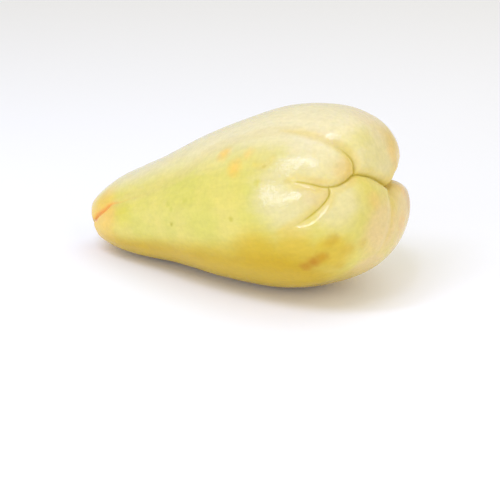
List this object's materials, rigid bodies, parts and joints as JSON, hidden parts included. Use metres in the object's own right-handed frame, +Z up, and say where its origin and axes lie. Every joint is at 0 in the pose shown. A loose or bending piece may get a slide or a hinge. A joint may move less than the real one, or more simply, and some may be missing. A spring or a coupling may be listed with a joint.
{
  "type": "chayote squash",
  "caption": "Whole pear-shaped chayote squash lying on its side, with a furrowed, puckered blossom end and a small sunken stem scar.",
  "frame": {"origin": "under the middle of the fruit's box, on the surface that the fruit lies on", "axes": "+Z up, +X towards the furrowed blossom end (-X is the stem end), -Y towards the near side, where the furrows' junctions show"},
  "size_m": [0.152, 0.0804, 0.0797],
  "materials": {
    "chayote_skin": "waxy natural fruit skin, pale yellow-green with ochre patches and small green dots, satin"
  },
  "bodies": {
    "root": {"chayote_fruit": "chayote_skin"}
  },
  "joints": []
}
